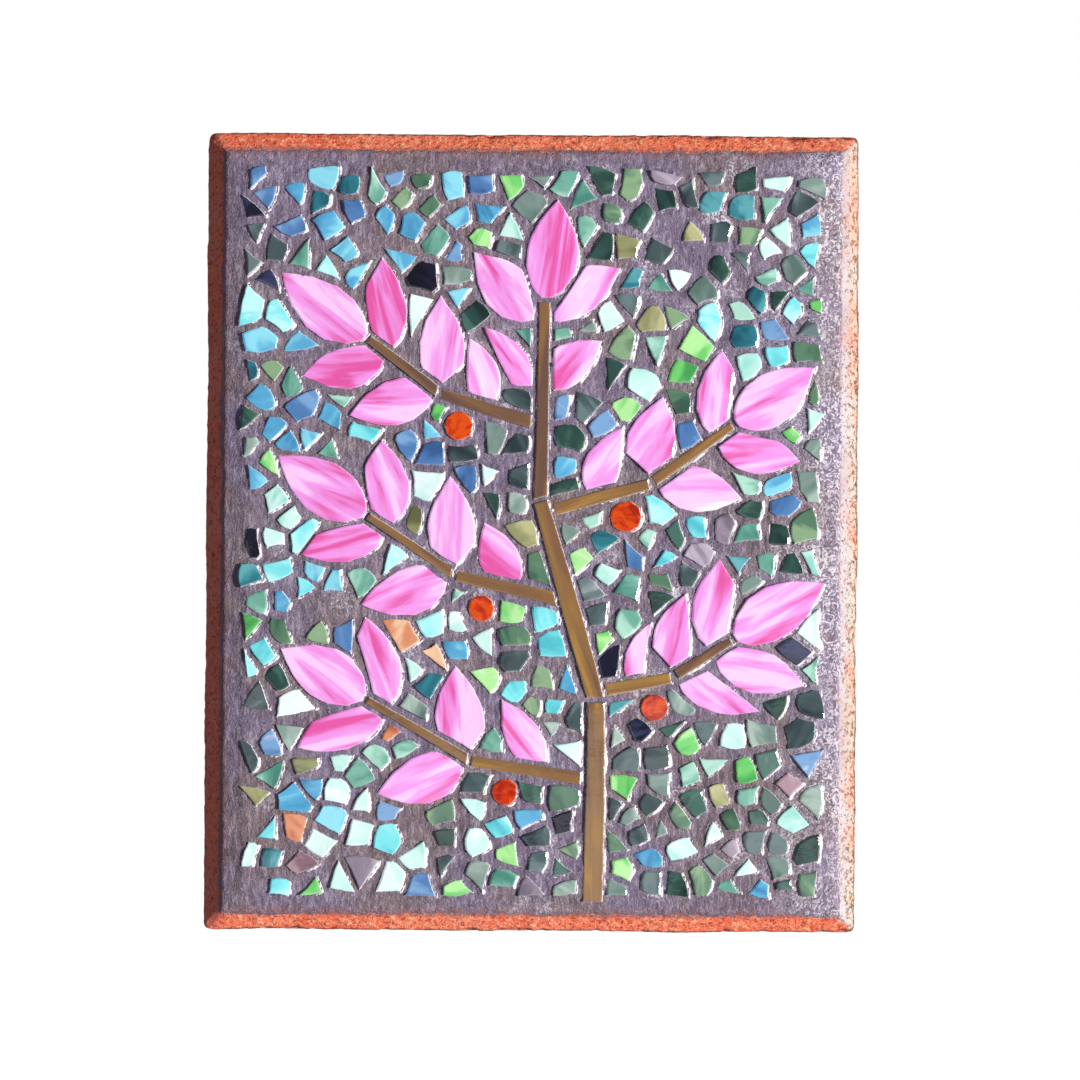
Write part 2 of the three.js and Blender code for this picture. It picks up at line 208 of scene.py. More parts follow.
def glared_clay(finish, clay, where, mottle, grit, glare):
    """The clay painted buff and white as a highlight, with red stains and brown pocks."""
    stains = finish.between(finish.noise(where, 13 * MM, 4, 1.0), 0.5, 0.64)
    clay = finish.mix(glare * (0.94 - stains * 0.5), clay, paint(176, 154, 124))
    glare_paleness = finish.between(grit + mottle * 0.3, 0.58, 0.66) * (1 - stains * 0.5)
    clay = finish.mix(glare * glare_paleness * 0.9, clay, paint(204, 196, 182))
    pocks = finish.between(grit, 0.5, 0.42)
    return finish.mix(glare * pocks * 0.85, clay, paint(108, 76, 58))


def terracotta():
    """Unglazed clay, hazed by the face, with a painted highlight on the right bevel and painted
    shade on the left bevel and along the arris.
    """
    finish = Finish("terracotta", {"Specular IOR Level": 0.25})
    where = finish.place()
    clouds = finish.noise(where, 26 * MM, 4)
    mottle = finish.noise(where, 3.2 * MM, 4)
    grains = finish.noise(where, 1.5 * MM, 3, 0.6)
    sand = finish.noise(where, 0.6 * MM, 2)
    grit = grains * 0.65 + sand * 0.35
    painted_shade_side = finish.attribute("painted_shade_side")
    glare = finish.attribute("painted_glare")
    clay = fired_clay(finish, clouds, mottle, grit, painted_shade_side)
    clay = glared_clay(finish, clay, where, mottle, grit, glare)
    wisps = finish.noise(where, 2.2 * MM, 3, 2.2)
    # On the left bevel the haze is also painted shade, a thin mauve cast.
    haze_and_shade = finish.attribute("haze_and_shade") * finish.between(grit * 0.4 + wisps * 0.6, 0.38, 0.54)
    # Painted highlight: the haze is paler where the painted glare lies.
    clay = finish.mix(haze_and_shade, clay, finish.mix(glare, paint(120, 98, 104), paint(200, 192, 200)))
    # Painted shade: darker along the outer arris, where the edge rounds away from the light, less so
    # on the left bevel.
    edge = finish.between(finish.attribute("rim") + (mottle - 0.5) * 1.6, 0.4, 0.8)
    clay = finish.mix(edge * (0.7 - painted_shade_side * 0.45), clay, paint(96, 44, 38))
    lumps = finish.bump(mottle, 0.5 * MM)
    grain = finish.bump(grains * 0.7 + sand * 0.3, 0.6 * MM, lumps)
    return finish.wear(clay, 0.9, grain)


def clay_block():
    """The block with its bevel, its edges cut fine enough to carry wear.

    The two broad faces are off while the edges are cut, and go back as one face each.
    """
    bm = bmesh.new()
    bmesh.ops.create_cube(bm, size=1)
    size = Vector((2 * slab_high.x, slab_high.y - bevel_foot_y, 2 * slab_high.z))
    bmesh.ops.scale(bm, vec=size, verts=bm.verts)
    bmesh.ops.translate(bm, vec=(0, (slab_high.y + bevel_foot_y) / 2, 0), verts=bm.verts)
    front = [f for f in bm.faces if f.normal.y < -0.9]
    bmesh.ops.inset_region(bm, faces=front, thickness=bevel_width, use_even_offset=True)
    bmesh.ops.translate(bm, vec=(0, -bevel_depth, 0), verts=front[0].verts)
    back_rim = [e for e in bm.edges if all(v.co.y > slab_high.y - HAIR for v in e.verts)]
    bmesh.ops.bevel(bm, geom=back_rim, offset=BACK_ARRIS, offset_type="OFFSET", segments=2,
                    profile=0.5, affect="EDGES", material=-1)
    broad = [f for f in bm.faces if abs(f.normal.y) > 0.99 and f.calc_area() > face_x * face_z]
    bmesh.ops.delete(bm, geom=broad, context="FACES_ONLY")
    for axis in (0, 2):
        longest = 2 * slab_high[axis]
        along = [e for e in bm.edges if abs(e.verts[0].co[axis] - e.verts[1].co[axis]) > longest / 2]
        bmesh.ops.subdivide_edges(bm, edges=along, cuts=round(longest / GRAIN_STEP))
    across = [e for e in bm.edges if e.calc_length() > 5 * GRAIN_STEP]
    bmesh.ops.subdivide_edges(bm, edges=across, cuts=round(bevel_width / GRAIN_STEP),
                              use_grid_fill=True)
    bmesh.ops.holes_fill(bm, edges=[e for e in bm.edges if e.is_boundary], sides=0)
    return bm


def worn(point, normal):
    """Where wear, chips and the clay's own unevenness have left a point of the block.

    Its corners are rounded at the outline, and less and less towards the face.
    """
    chip_size, chip_depth = 7 * MM, 2.6 * MM
    arris_wear, arris_reach = 0.25 * MM, 1.1 * MM
    mitre_wear, mitre_reach = 0.3 * MM, 1.2 * MM
    warp_size, warp_depth = 34 * MM, 0.4 * MM
    grain_size, grain_depth = 2.4 * MM, 0.16 * MM
    moved = point.copy()
    inset = inside_rim(point)
    share = clipped(inset / bevel_width) if point.y < bevel_foot_y else 0.0
    radius = CORNER_RADIUS * (1 - share)
    away_x = abs(point.x) - (slab_high.x - inset - radius)
    away_z = abs(point.z) - (slab_high.z - inset - radius)
    if away_x > 0 and away_z > 0 and math.hypot(away_x, away_z) > radius:
        drawn_in = radius / math.hypot(away_x, away_z)
        moved.x -= math.copysign(away_x * (1 - drawn_in), point.x)
        moved.z -= math.copysign(away_z * (1 - drawn_in), point.z)
    to_arris = math.hypot(inset, point.y - bevel_foot_y)
    to_mitre = abs((slab_high.x - abs(point.x)) - (slab_high.z - abs(point.z)))
    chip = max(0.0, rough(point, chip_size) - 0.12) * chip_depth
    moved -= normal * (chip + arris_wear) * math.exp(-to_arris / arris_reach)
    if point.y < bevel_foot_y:
        moved -= normal * mitre_wear * math.exp(-to_mitre / mitre_reach)
    moved += normal * rough(point, warp_size, 2) * warp_depth
    moved += normal * rough(point, grain_size) * grain_depth
    return moved


def glare_share(point):
    """How much painted highlight a point gets: all down the right bevel, and fading round its side.
    """
    fade = 8.2 * MM
    mitre_blur = 2.5 * MM
    on_right = (point.x - face_x) / bevel_width
    round_side = max(0.0, point.y - bevel_foot_y) / fade
    from_mitre = (point.x - face_x) - (abs(point.z) - face_z)
    weathered = max(0.0, 0.85 - round_side + 0.3 * rough(point, 20 * MM))
    return clipped(on_right * 4 + 0.6) * weathered * clipped(0.5 + from_mitre / mitre_blur)


def grout_film(point, glare_paleness):
    """How much grout the sponge has left on a point of the bevel, most near the face."""
    # The haze reaches further where the painted glare lies.
    wiped = 1.3 * MM + 0.8 * MM * rough(point, 12 * MM) + 3.4 * MM * glare_paleness
    narrowest = 0.4 * MM
    return clipped(1.3 - past_face(point) / max(narrowest, wiped))


def slab():
    bm = clay_block()
    bm.normal_update()
    painted_glare = bm.verts.layers.float.new("painted_glare")
    haze_and_shade = bm.verts.layers.float.new("haze_and_shade")
    rim = bm.verts.layers.float.new("rim")
    painted_shade_side = bm.verts.layers.float.new("painted_shade_side")
    rim_width = 1.2 * MM
    back_edge = 2 * MM
    places = []
    for v in bm.verts:
        on_face = v.co.y < face_y + HAIR and abs(v.co.x) < face_x + HAIR
        places.append(worn(v.co, Vector((0, 0, 0)) if on_face else v.normal))
        on_left = v.co.x < -face_x and v.co.y < slab_high.y - back_edge
        # Painted highlight down the right bevel, where the key light strikes.
        v[painted_glare] = glare_share(v.co)
        # The left bevel is the side painted as in shade.
        v[painted_shade_side] = 1.0 if on_left else 0.0
        # Painted shade: a thin mauve film over the left bevel, besides the real grout film near the
        # face.
        film_and_shade = max(grout_film(v.co, v[painted_glare]), 0.25 * v[painted_shade_side])
        v[haze_and_shade] = film_and_shade if v.co.y < bevel_foot_y else 0.0
        # Painted shade along the outer arris, fading inward.
        v[rim] = math.exp(-math.hypot(inside_rim(v.co), v.co.y - bevel_foot_y) / rim_width)
    for v, place in zip(bm.verts, places):
        v.co = place
    for face in bm.faces:
        face.smooth = face.calc_area() < face_x * face_z
    new_piece("terracotta_slab", bm, terracotta(), "terracotta", "slab")


slab()

# The picture's glass: 3 mm opal sheet, scored and nipped to shape by hand and stuck to the slab.
# The faces are flat and glossy, each at its own slight tilt, and the nipped edges are rough and
# frosted. Trunk and boughs are olive and tan glass, the leaves pink, the fruit orange.
NIP_STEP = 1.9 * MM
ARRIS = 0.65 * MM
MOST_BOW = 0.9 * MM
FOOT_SKEW = 0.3 * MM
SEAT_PROUD = 0.18 * MM
SEAT_SUNK = 0.14 * MM
# The side, right and a little down, towards the key light, on which glass edges and grout crust are
# painted white as a highlight.
LIT_FROM = (0.97, -0.24)

glass_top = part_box("crown_leaf_1")[0].y
glass_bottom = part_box("crown_leaf_1")[1].y
pieces_laid = []


def flat_outline(points):
    """The corners of a convex piece's face as (x, z), in order round its middle."""
    corners = {(round(p.x, 6), round(p.z, 6)) for p in points}
    middle_x = sum(x for x, _ in corners) / len(corners)
    middle_z = sum(z for _, z in corners) / len(corners)
    return sorted(corners, key=lambda c: math.atan2(c[1] - middle_z, c[0] - middle_x))


def node_outline(name):
    points = [v.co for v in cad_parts[name].data.vertices]
    return flat_outline([p for p in points if p.y < glass_top + HAIR])


def narrowed(corners, hand, most):
    """The corners drawn together along one direction, towards a point between the outermost."""
    angle = hand.uniform(0, math.pi)
    axis = Vector((math.cos(angle), math.sin(angle)))
    reaches = [corner.dot(axis) for corner in corners]
    share = hand.uniform(0, most)
    pivot = hand.uniform(min(reaches), max(reaches))
    return [c - axis * (reach - pivot) * share for c, reach in zip(corners, reaches)]


def nibbled(outline, hand, slim, bow, wobble):
    """The outline as nipping leaves it: less than was scored, its sides bowed and uneven."""
    corners = narrowed([Vector(corner) for corner in outline], hand, slim)
    edge = []
    for start, end in zip(corners, corners[1:] + corners[:1]):
        side = end - start
        out = Vector((side.y, -side.x)).normalized()
        steps = max(1, round(side.length / NIP_STEP))
        swell = min(bow * side.length, MOST_BOW) * hand.uniform(-0.4, 1)
        for step in range(steps):
            share = step / steps
            lift = 4 * swell * share * (1 - share) + hand.uniform(-1, 0.5) * wobble
            edge.append(start + side * share + out * lift)
    return edge


def long_axis(outline):
    """The angle of a piece's long axis."""
    spread = np.cov(np.array(outline).T)
    x, z = np.linalg.eigh(spread)[1][:, 1]
    return math.atan2(z, x)


def nipped_piece(outline, hand, slim=0.0, bow=0.04, wobble=0.1 * MM, tilt=1.6, lengthways=True):
    """One piece of glass: a closed solid with a bevelled arris, ready to join its fellows."""
    edge = nibbled(outline, hand, slim, bow, wobble)
    pieces_laid.append(np.array([tuple(p) for p in edge]))
    middle = sum(edge, Vector((0, 0))) / len(edge)
    bm = bmesh.new()
    corners = [bm.verts.new((p.x, glass_top, p.y)) for p in edge]
    top = bm.faces.new(corners)
    foot = bmesh.ops.extrude_face_region(bm, geom=[top])["geom"]
    foot = [v for v in foot if isinstance(v, bmesh.types.BMVert)]
    skew_x = hand.uniform(-FOOT_SKEW, FOOT_SKEW)
    skew_z = hand.uniform(-FOOT_SKEW, FOOT_SKEW)
    bmesh.ops.translate(bm, vec=(skew_x, glass_bottom - glass_top, skew_z), verts=foot)
    bmesh.ops.recalc_face_normals(bm, faces=bm.faces)
    rim = [e for e in bm.edges if all(v.co.y < glass_top + HAIR for v in e.verts)]
    bmesh.ops.bevel(bm, geom=rim, offset=ARRIS * hand.uniform(0.6, 1.25), offset_type="OFFSET",
                    segments=2, profile=0.5, affect="EDGES", clamp_overlap=True, material=-1)
    seat = Vector((middle.x, glass_bottom, middle.y))
    for axis in "XZ":
        turn = Matrix.Rotation(math.radians(hand.uniform(-tilt, tilt)), 3, axis)
        bmesh.ops.rotate(bm, cent=seat, matrix=turn, verts=bm.verts)
    bmesh.ops.translate(bm, vec=(0, hand.uniform(-SEAT_PROUD, SEAT_SUNK), 0), verts=bm.verts)
    heading = long_axis(outline) + hand.gauss(0, 0.12) if lengthways else hand.uniform(0, math.pi)
    streak_marks(bm, middle, heading, hand)
    return bm


def streak_marks(bm, middle, heading, hand):
    """Notes where a piece's streaks run, its depth of colour, its wisps and its nipped faces.

    The nipped faces are frosted white all round, and whiter on the side towards the key light,
    where it is a painted highlight. The face and the first of the arris's two bands stay clear.
    """
    streak = bm.loops.layers.uv.new("streak")
    cut = bm.loops.layers.float_color.new("cut")
    along = Vector((math.cos(heading), math.sin(heading)))
    across = Vector((-along.y, along.x))
    start = Vector((hand.uniform(0, 90), hand.uniform(0, 90)))
    tone = hand.random()
    wispy = hand.random()
    for face in bm.faces:
        lit_side = max(0.0, face.normal.x * LIT_FROM[0] + face.normal.z * LIT_FROM[1])
        nipped_and_lit = 0.0 if face.normal.y < -0.8 else 0.15 + 0.85 * lit_side ** 0.4
        for loop in face.loops:
            place = Vector((loop.vert.co.x, loop.vert.co.z)) - middle
            centimetres = Vector((place.dot(along), place.dot(across))) / (10 * MM)
            loop[streak].uv = start + centimetres
            loop[cut] = (tone, wispy, nipped_and_lit, 1.0)


def joined(parts):
    """Pieces of one sheet of glass as one mesh, each still a closed solid."""
    whole = bmesh.new()
    for part in parts:
        mesh = bpy.data.meshes.new("part")
        part.to_mesh(mesh)
        part.free()
        whole.from_mesh(mesh)
        bpy.data.meshes.remove(mesh)
    return whole


def opal(name, colours, threads, length, contrast, wisp, bands, spread=0.7):
    """Streaky opal glass, from the sheet's palest colour to its deepest, with white wisps.

    Bands is how many streaks there are to a centimetre, length how many times as long as wide
    they are, and threads the strength of the fine ones. Spread is how much the pieces differ.
    """
    fine_bands = 4.5
    pale, body, deep = (paint(*colour) for colour in colours)
    finish = Finish(name, {"IOR": 1.52, "Coat Weight": 0.35, "Coat Roughness": 0.04})
    uv = finish.node("ShaderNodeUVMap", {"uv_map": "streak"}, {})
    drawn = finish.node("ShaderNodeMapping", {}, {"Vector": uv, "Scale": (1 / length, 1, 1)})
    marks = {"Color": finish.attribute("cut", "Color")}
    tone, wispy, nipped_and_lit = (finish.node("ShaderNodeSeparateColor", {}, marks, channel)
                           for channel in ("Red", "Green", "Blue"))
    swirl = finish.noise(drawn, 1 / bands, 3, 0.6)
    fine = finish.noise(drawn, 1 / fine_bands, 3, 0.3)
    depth = (swirl - 0.5) * 3 * contrast + (fine - 0.5) * threads + (tone - 0.5) * spread + 0.4
    glass = finish.mix(finish.between(depth, 0.0, 0.5), pale, body)
    glass = finish.mix(finish.between(depth, 0.5, 1.1), glass, deep)
    wisps = finish.between(depth + wispy * 0.25, -0.12, -0.5)
    glass = finish.mix(wisps * wisp, glass, paint(252, 246, 252))
    where = finish.place()
    crumble = finish.noise(where, 0.8 * MM, 2)
    # Painted highlight: the nipped faces towards the key light go whiter than the real frost.
    frost_and_highlight = finish.mix(0.85, glass, paint(244, 242, 244))
    glass = finish.mix(nipped_and_lit * finish.between(crumble, 0.3, 0.48), glass, frost_and_highlight)
    gloss = 0.09 + nipped_and_lit * 0.4
    ripple = finish.bump(finish.noise(where, 9 * MM, 1), 0.22 * MM)
    seeds = finish.noise(where, 1.6 * MM, 1) * 0.08
    return finish.wear(glass, gloss, finish.bump(seeds + crumble * nipped_and_lit * 0.7, 0.5 * MM, ripple))


def lay_glass(name, finish, slot, nodes, seed, **cutting):
    hand = random.Random(seed)
    parts = [nipped_piece(node_outline(node), hand, **cutting) for node in nodes]
    new_piece(name, joined(parts), finish, slot, *nodes)


def nodes_named(start, middle=""):
    return sorted(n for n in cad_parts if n.startswith(start) and middle in n)


brown_opal = opal("brown_opal", ((170, 130, 64), (140, 104, 64), (108, 80, 66)),
                  threads=0.4, length=12, contrast=1, wisp=0, bands=1.6, spread=1.5)
orange_opal = opal("orange_opal", ((218, 78, 8), (196, 50, 0), (162, 32, 2)),
                   threads=0.9, length=1.5, contrast=1.5, wisp=0, bands=3)
pink_opal = opal("pink_opal", ((252, 206, 248), (242, 156, 234), (228, 90, 168)),
                 threads=0.5, length=7, contrast=1.25, wisp=0.85, bands=1.6, spread=0.4)

lay_glass("trunk_glass", brown_opal, "brown_glass", nodes_named("trunk_strip"), 11, bow=0.01)
lay_glass("bough_glass", brown_opal, "brown_glass", nodes_named("bough_", "_strip"), 12, bow=0.01)
lay_glass("fruit_glass", orange_opal, "orange_glass", nodes_named("fruit_"), 13, bow=0.05,
          lengthways=False)
for number in range(1, 6):
    leaves = nodes_named(f"bough_{number}_leaf")
    lay_glass(f"bough_{number}_leaves", pink_opal, "pink_glass", leaves, 20 + number)
lay_glass("crown_leaves", pink_opal, "pink_glass", nodes_named("crown_leaf"), 30)

# The ground's glass: small offcuts of many sheets, nipped at random and set like crazy paving.
# Turquoise and blue lie thickest at the upper left, near-white mint at the lower left and greens
# elsewhere, with a few dark, olive and amber bits among them.

# A sheet is its palest, its own and its deepest colour, then how much of it lies towards the
# upper left, the lower left, the middle and the right.
SHEETS = {
    "turquoise": ((142, 222, 240), (92, 174, 214), (58, 130, 176), (12, 4, 0.6, 2.5)),
    "aqua": ((190, 250, 250), (132, 234, 238), (84, 196, 208), (8, 6, 0.8, 2)),
    "mint_white": ((232, 252, 250), (204, 246, 236), (152, 222, 208), (2, 8, 1.6, 1.4)),
    "blue": ((124, 168, 212), (80, 126, 180), (52, 90, 142), (6, 2, 0.6, 2)),
    "teal": ((96, 172, 180), (46, 122, 136), (22, 76, 92), (3, 1.5, 1.4, 1.6)),
    "sea_green": ((176, 226, 206), (114, 176, 156), (74, 136, 120), (1.5, 3.5, 3.4, 3.4)),
    "sage": ((172, 194, 182), (126, 150, 142), (88, 112, 106), (1, 2.4, 4.4, 3)),
    "spring_green": ((180, 240, 160), (114, 208, 110), (70, 160, 84), (1.4, 1.8, 2.4, 1.9)),
    "leaf_green": ((140, 174, 134), (90, 128, 102), (56, 92, 74), (0.8, 1.6, 2.8, 2.6)),
    "bottle_green": ((72, 110, 98), (42, 74, 66), (22, 48, 44), (0.5, 1, 3.8, 3.6)),
    "slate": ((106, 126, 128), (70, 88, 90), (40, 56, 60), (0.9, 1.4, 4.4, 3.2)),
    "smoke": ((188, 178, 192), (148, 136, 152), (104, 94, 110), (0.3, 0.9, 1.5, 0.7)),
    "midnight": ((54, 60, 92), (24, 26, 48), (10, 10, 24), (2.8, 0.5, 0.8, 0.4)),
    "olive": ((190, 190, 140), (146, 148, 104), (98, 100, 66), (0.3, 0.6, 0.9, 0.6)),
    "amber": ((246, 204, 164), (222, 148, 106), (176, 96, 66), (0, 4, 0, 0)),
    "mauve": ((176, 146, 156), (130, 96, 108), (92, 60, 72), (0.1, 0.8, 0.3, 0.3)),
}


def ground_outlines():
    """Each tessera's face, read from the raised faces of the grout's own node."""
    bm = bmesh.new()
    bm.from_mesh(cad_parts["grout_bed"].data)
    bmesh.ops.remove_doubles(bm, verts=bm.verts, dist=HAIR / 5)
    low = [f for f in bm.faces if any(v.co.y > glass_top + HAIR for v in f.verts)]
    bmesh.ops.delete(bm, geom=low, context="FACES")
    waiting = set(bm.verts)
    outlines = []
    while waiting:
        island = set()
        reached = [waiting.pop()]
        while reached:
            vert = reached.pop()
            island.add(vert)
            reached += [w for e in vert.link_edges for w in e.verts if w not in island]
        waiting -= island
        outlines.append(flat_outline([v.co for v in island]))
    bm.free()
    return sorted(outlines)


def sheet_shares(outline):
    """How likely each sheet is at a tessera, from where it lies between -1 and 1 on the face."""
    x = sum(p[0] for p in outline) / len(outline) / face_x
    z = sum(p[1] for p in outline) / len(outline) / face_z
    left = clipped((-x - 0.06) / 0.3)
    right = clipped((x - 0.55) / 0.3)
    upper = clipped((z + 0.35) / 0.5)
    zones = (left * upper, left * (1 - upper), 1 - max(left, right), right)
    return [sum(zone * weight for zone, weight in zip(zones, sheet[3])) for sheet in SHEETS.values()]


def ground():
    hand = random.Random(41)
    boxes = {}
    for outline in ground_outlines():
        name = hand.choices(list(SHEETS), sheet_shares(outline))[0]
        piece = nipped_piece(outline, hand, slim=0.24, bow=0.16, wobble=0.17 * MM, tilt=2.8,
                             lengthways=False)
        boxes.setdefault(name, []).append(piece)
    for name, parts in boxes.items():
        colours = SHEETS[name][:3]
        brightness = max(paint(*colours[1])[:3])
        finish = opal(f"{name}_opal", colours, threads=0.35, length=2.4, contrast=1.1,
                      wisp=0.85 * brightness ** 0.5, bands=0.9)
        new_piece(f"{name}_tesserae", joined(parts), finish, "ground_glass")


ground()

# The grout: cement and sand, tinted mauve-grey, worked into the joints when the glass had set.
# It climbs the edges of the glass in crumbly fillets, lies a little lower in wide joints, and
# feathers out over the inner edge of the bevel where it was wiped off with a sponge.
GROUT_STEP = 0.8 * MM
GROUT_OVERLAP = 3.6 * MM
SWELL = 0.4 * MM
FEATHER_LIP = 1.4 * MM
FEATHER_WIDTH = 9 * MM
FILLET_HEIGHT = 0.95 * MM
FILLET_REACH = 0.5 * MM
HIDDEN_CLIMB = 0.9 * MM
HIDDEN_WIDTH = 1 * MM
CRUST_HIGHLIGHT_WIDTH = 1.3 * MM
DUST_WIDTH = 3.5 * MM

grout_y = sorted({round(v.co.y, 5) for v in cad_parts["grout_bed"].data.vertices})[1]
grout_depth = face_y - grout_y


def cement(finish, where, sand, mottle):
    """Mauve-grey cement, cloudy and mottled, with up-and-down sponge strokes and pale sand."""
    clouds = finish.noise(where, 30 * MM, 3)
    drawn = finish.node("ShaderNodeMapping", {}, {"Vector": where, "Scale": (1.0, 1.0, 0.22)})
    strokes = finish.noise(drawn, 1.1 * MM, 3, 0.8)
    grey = finish.mix(finish.between(clouds, 0.42, 0.6), paint(128, 115, 138), paint(130, 114, 116))
    grey = finish.mix(finish.between(mottle, 0.38, 0.66) * 0.6, grey, paint(104, 93, 112))
    grey = finish.mix(finish.between(strokes, 0.52, 0.66) * 0.58, grey, paint(174, 162, 182))
    grey = finish.mix(finish.between(strokes, 0.47, 0.33) * 0.6, grey, paint(76, 64, 76))
    return finish.mix(finish.between(sand, 0.56, 0.68) * 0.45, grey, paint(180, 168, 184))


def sandy_grout():
    """The cement with white crust by the glass, partly a painted highlight, scribbles of scum and
    painted glare, and clay dust by the bevel.
    """
    finish = Finish("sandy_grout", {"Specular IOR Level": 0.2})
    where = finish.place()
    mottle = finish.noise(where, 4 * MM, 4)
    sand = finish.noise(where, 0.8 * MM, 3)
    fine = finish.noise(where, 0.4 * MM, 2)
    grey = cement(finish, where, sand, mottle)
    crumbs = finish.noise(where, 1.5 * MM, 3, 0.8)
    # The white crust lies only on the glass's lit side, so it is partly a painted highlight.
    crust_and_highlight = finish.between(finish.attribute("crust_and_highlight") + (crumbs - 0.5), 0.62, 0.8)
    grey = finish.mix(crust_and_highlight * 0.9, grey, paint(244, 238, 242))
    scribbles = finish.between(finish.noise(where, 2.1 * MM, 3, 2.2), 0.49, 0.6)
    # Painted glare towards the right border, with real smears of scum.
    scum_and_glare = finish.attribute("scum_and_glare") * (scribbles * 0.7 + 0.03)
    grey = finish.mix(scum_and_glare, grey, paint(234, 228, 236))
    dust = finish.attribute("dust") * finish.between(sand * 0.5 + mottle * 0.5, 0.42, 0.56)
    grey = finish.mix(dust * 0.6, grey, paint(176, 112, 92))
    lumps = finish.bump(mottle, 0.6 * MM)
    grain = finish.bump((sand * 0.7 + fine * 0.3) * (1 - crust_and_highlight * 0.7), 0.55 * MM, lumps)
    return finish.wear(grey, 0.95, grain)


def distance_to_glass(x, z):
    """How far each point is from the nearest glass, negative under it, and how much on its lit side.

    The lit side is to the right and down, towards the key light, where the white crust is laid as
    partly a painted highlight.
    """
    far = 1.0
    tiny = 1e-9
    search = 6 * MM
    nearest = np.full(len(x), far)
    lit_side = np.zeros(len(x))
    for outline in pieces_laid:
        low, high = outline.min(0) - search, outline.max(0) + search
        near = np.nonzero((x > low[0]) & (x < high[0]) & (z > low[1]) & (z < high[1]))[0]
        points = np.stack([x[near], z[near]], 1)
        gap = np.full(len(near), far)
        away = np.zeros((len(near), 2))
        inside = np.zeros(len(near), bool)
        for start, end in zip(outline, np.roll(outline, -1, 0)):
            side = end - start
            share = np.clip((points - start) @ side / (side @ side), 0, 1)
            offset = points - start - share[:, None] * side
            length = np.linalg.norm(offset, axis=1)
            away = np.where((length < gap)[:, None], offset / (length[:, None] + tiny), away)
            gap = np.minimum(gap, length)
            spans = (start[1] > points[:, 1]) != (end[1] > points[:, 1])
            rise = side[1] if abs(side[1]) > tiny else tiny
            inside ^= spans & (points[:, 0] < start[0] + side[0] * (points[:, 1] - start[1]) / rise)
        gap = np.where(inside, -gap, gap)
        on_lit_side = np.clip(away @ np.array(LIT_FROM), 0, 1)
        lit_side[near] = np.where(gap < nearest[near], on_lit_side, lit_side[near])
        nearest[near] = np.minimum(nearest[near], gap)
    return nearest, lit_side


def slab_surface(point):
    """The y of the slab's face or bevel behind a point."""
    return face_y + max(0.0, past_face(point)) * bevel_depth / bevel_width


def within_border(point):
    """How far a point is inside the ragged line that the grout was wiped to."""
    ragged = 0.6 * MM * rough(point, 12 * MM, 2) + 0.5 * MM * rough(point, 2.2 * MM, 2)
    on_left = -point.x - face_x > abs(point.z) - face_z
    overlap = 0.9 * MM if on_left else 0.3 * MM
    return overlap + ragged - past_face(point)


def grout_height(point, border, gap, lit_side):
    """How high the grout stands on the slab: thin at its border and climbing against the glass.

    Under a piece of glass, where it doesn't show, it stays low, and lower still further in.
    """
    lip = max(-1.0, min(1.0, border / FEATHER_LIP))
    cover = 0.35 * lip + 0.65 * clipped(border / FEATHER_WIDTH)
    height = cover * (grout_depth + SWELL)
    if cover > 0:
        waves = 0.22 * rough(point, 15 * MM, 2) + 0.14 * rough(point, 2.6 * MM)
        height += cover * waves * MM
        reach = FILLET_REACH * (2.6 - 1.6 * lit_side)
        climb = math.exp(-max(0.0, gap) / reach) * (0.55 + 0.8 * rough(point, 5 * MM))
        height += max(0.0, climb) * FILLET_HEIGHT * (0.7 + 0.3 * lit_side)
        crumb = max(0.0, rough(point, 1.7 * MM, layer=0.1) - 0.15) * 0.7 * MM
        height += crumb * math.exp(-max(0.0, gap) / (2 * MM))
    if gap < 0:
        height = min(height, grout_depth + HIDDEN_CLIMB)
    if gap < -HIDDEN_WIDTH:
        height = grout_depth * 0.6
    return height


def scum_and_glare_share(point):
    """How much white is laid: painted glare thick towards the right border, and smears of scum
    elsewhere, more of them to the right.
    """
    across = point.x / face_x
    by_border = (across - 0.78) / 0.2 + 0.8 * rough(point, 24 * MM, 2)
    smear = 2.4 * (rough(point, 15 * MM, layer=0.3) - 0.25) * (0.65 + 0.35 * across)
    return clipped(max(by_border, smear))


